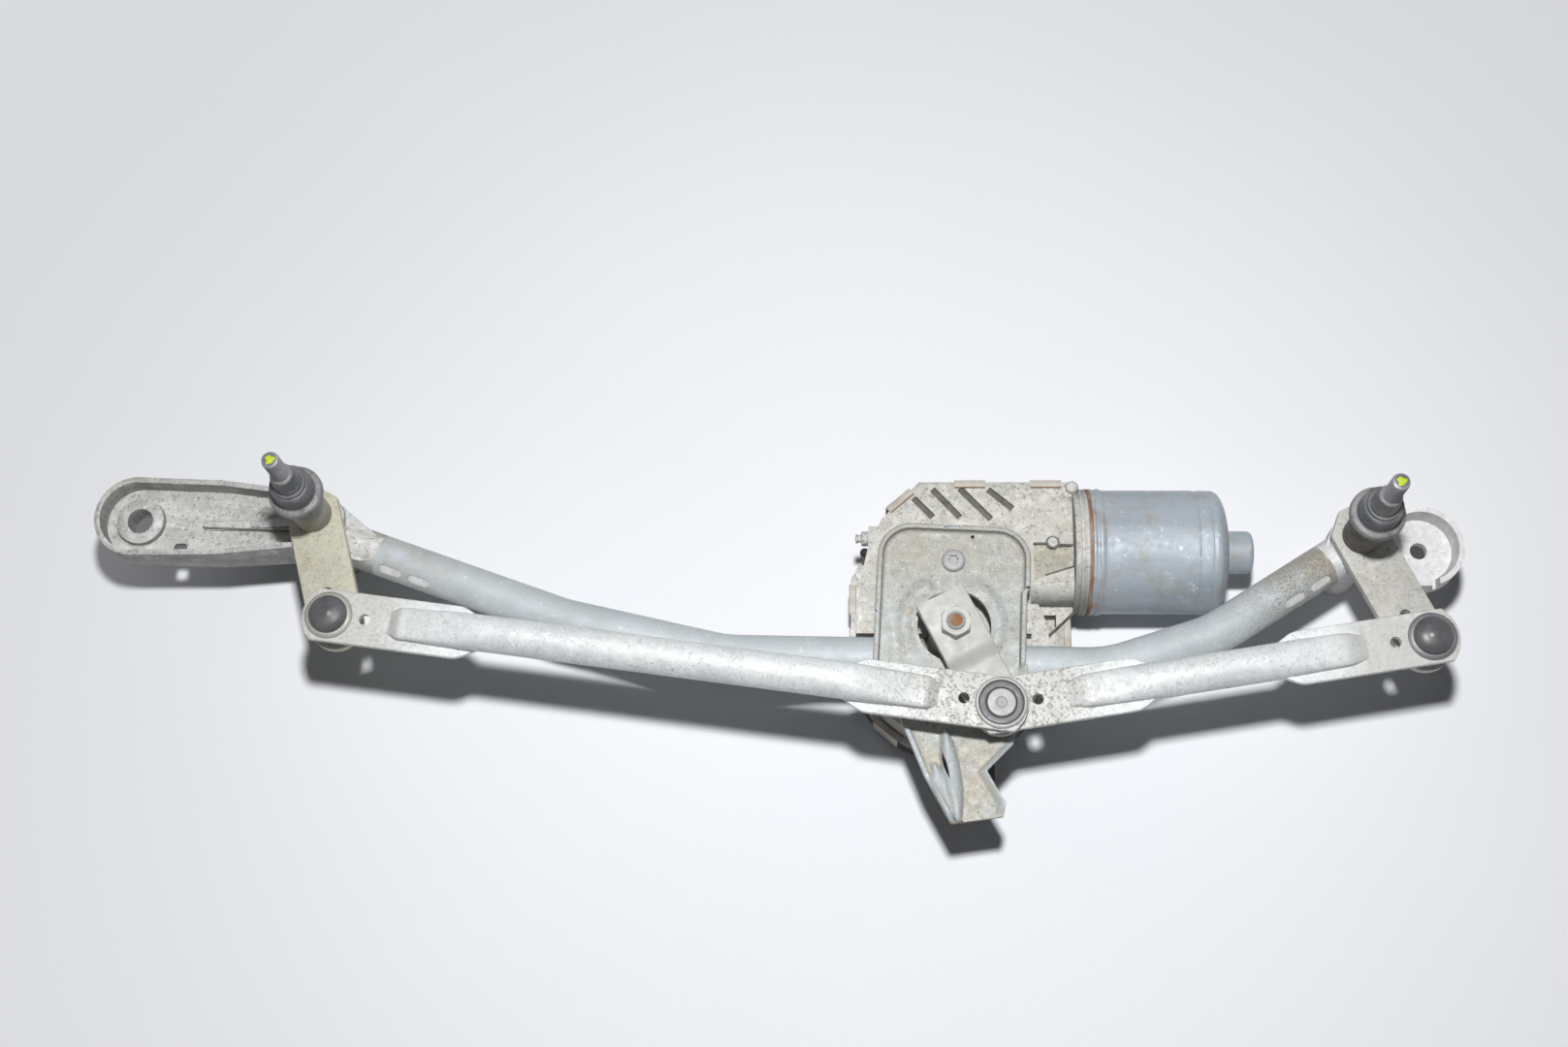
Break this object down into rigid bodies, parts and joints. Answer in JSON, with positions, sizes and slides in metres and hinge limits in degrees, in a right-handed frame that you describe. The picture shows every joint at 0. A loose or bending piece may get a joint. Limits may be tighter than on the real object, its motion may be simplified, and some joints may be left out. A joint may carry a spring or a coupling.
{
  "type": "wiper linkage",
  "caption": "Windscreen wiper linkage: a bent tube frame with die-cast spindle brackets, a geared motor, a crank and push rods that swing both wiper spindles.",
  "frame": {"origin": "on the output shaft's axis, on the bottom face of the gear cover, which is the plane the part stands on", "axes": "+X along the frame towards the motor's can, +Y towards the motor's axis, +Z along the spindles towards their threads"},
  "size_m": [0.6536, 0.1698, 0.1425],
  "materials": {
    "galvanised_tube": "dull galvanised",
    "die_cast": "as-cast, weathered",
    "zinc_plate": "zinc plated, speckled",
    "bright_zinc": "bright zinc",
    "yellow_zinc": "yellowed zinc",
    "can_steel": "drawn steel, zinc plated",
    "bare_steel": "machined",
    "dark_steel": "phosphated",
    "neck_tan": "yellowed, worn",
    "neck_dark": "greasy",
    "spring_steel": "tarnished spring steel",
    "black_plastic": "moulded",
    "cover_plastic": "moulded",
    "seal_rubber": "matt",
    "rust_seal": "rust stained",
    "board": "solder mask",
    "brass": "plain",
    "bronze": "sintered",
    "copper": "enamelled wire",
    "ferrite": "sintered",
    "lamination": "stacked sheet",
    "carbon": "pressed carbon",
    "gear_plastic": "moulded"
  },
  "bodies": {
    "frame": {"left_tube": "galvanised_tube", "right_tube": "galvanised_tube", "left_bracket": "die_cast", "right_bracket": "die_cast", "motor_plate": "zinc_plate", "motor_screws": "bare_steel", "gear_housing": "die_cast", "gear_cover": "cover_plastic", "cover_seal": "seal_rubber", "cover_clips": "spring_steel", "control_board": "board", "connector_pins": "brass", "breather": "die_cast", "output_bush": "bronze", "motor_can": "can_steel", "can_seal": "rust_seal", "magnets": "ferrite", "brush_holder": "cover_plastic", "brushes": "carbon", "front_bearing": "bronze", "rear_bearing": "bronze", "left_bushes": "bronze", "right_bushes": "bronze"},
    "armature": {"armature_shaft": "bare_steel", "worm": "bare_steel", "armature_core": "lamination", "windings": "copper", "commutator": "copper"},
    "drive": {"output_shaft": "bare_steel", "worm_wheel": "gear_plastic", "output_washer": "bare_steel", "output_circlip": "dark_steel", "crank_arm": "bright_zinc", "crank_nut": "bright_zinc", "crank_stud": "bare_steel"},
    "left_link": {"left_rod": "zinc_plate", "middle_upper_socket": "black_plastic", "middle_ring": "bare_steel"},
    "right_link": {"right_rod": "zinc_plate", "middle_lower_socket": "black_plastic"},
    "left_arm": {"left_spindle": "bare_steel", "left_lever": "yellow_zinc", "left_neck": "neck_tan", "left_collar": "dark_steel", "left_ball_stud": "bare_steel", "left_socket": "black_plastic", "left_ring": "bare_steel", "left_thrust_washer": "bare_steel", "left_circlip": "dark_steel"},
    "right_arm": {"right_spindle": "bare_steel", "right_lever": "yellow_zinc", "right_neck": "neck_dark", "right_collar": "dark_steel", "right_ball_stud": "bare_steel", "right_socket": "black_plastic", "right_ring": "bare_steel", "right_thrust_washer": "bare_steel", "right_circlip": "dark_steel"}
  },
  "joints": [
    {"name": "armature_spin", "type": "hinge", "parent": "frame", "child": "armature", "pos_m": [0, 0.048, 0.031], "axis": [1, 0, 0], "range_deg": [-4500, 600]},
    {"name": "crank_swing", "type": "hinge", "parent": "frame", "child": "drive", "pos_m": [0, 0, 0.06], "axis": [0, 0, 1], "range_deg": [-75, 10]},
    {"name": "left_rod_pivot", "type": "hinge", "parent": "drive", "child": "left_link", "pos_m": [0.01975, -0.03876, 0.079], "axis": [0, 0, 1], "range_deg": [-10, 75]},
    {"name": "right_rod_pivot", "type": "hinge", "parent": "drive", "child": "right_link", "pos_m": [0.01975, -0.03876, 0.075], "axis": [0, 0, 1], "range_deg": [-10, 73.5]},
    {"name": "left_wiper_swing", "type": "hinge", "parent": "frame", "child": "left_arm", "pos_m": [-0.305, 0.0555, 0.06], "axis": [0, 0, 1], "range_deg": [-57.5, 8]},
    {"name": "right_wiper_swing", "type": "hinge", "parent": "frame", "child": "right_arm", "pos_m": [0.1905, 0.046, 0.06], "axis": [0, 0, 1], "range_deg": [-54, 7.5]}
  ],
  "couplings": [
    {"joint": "crank_swing", "follows": "armature_spin", "ratio": 0.016667},
    {"joint": "left_rod_pivot", "follows": "armature_spin", "ratio": -0.016527},
    {"joint": "right_rod_pivot", "follows": "armature_spin", "ratio": -0.01622},
    {"joint": "left_wiper_swing", "follows": "armature_spin", "ratio": 0.012692},
    {"joint": "right_wiper_swing", "follows": "armature_spin", "ratio": 0.011957}
  ]
}
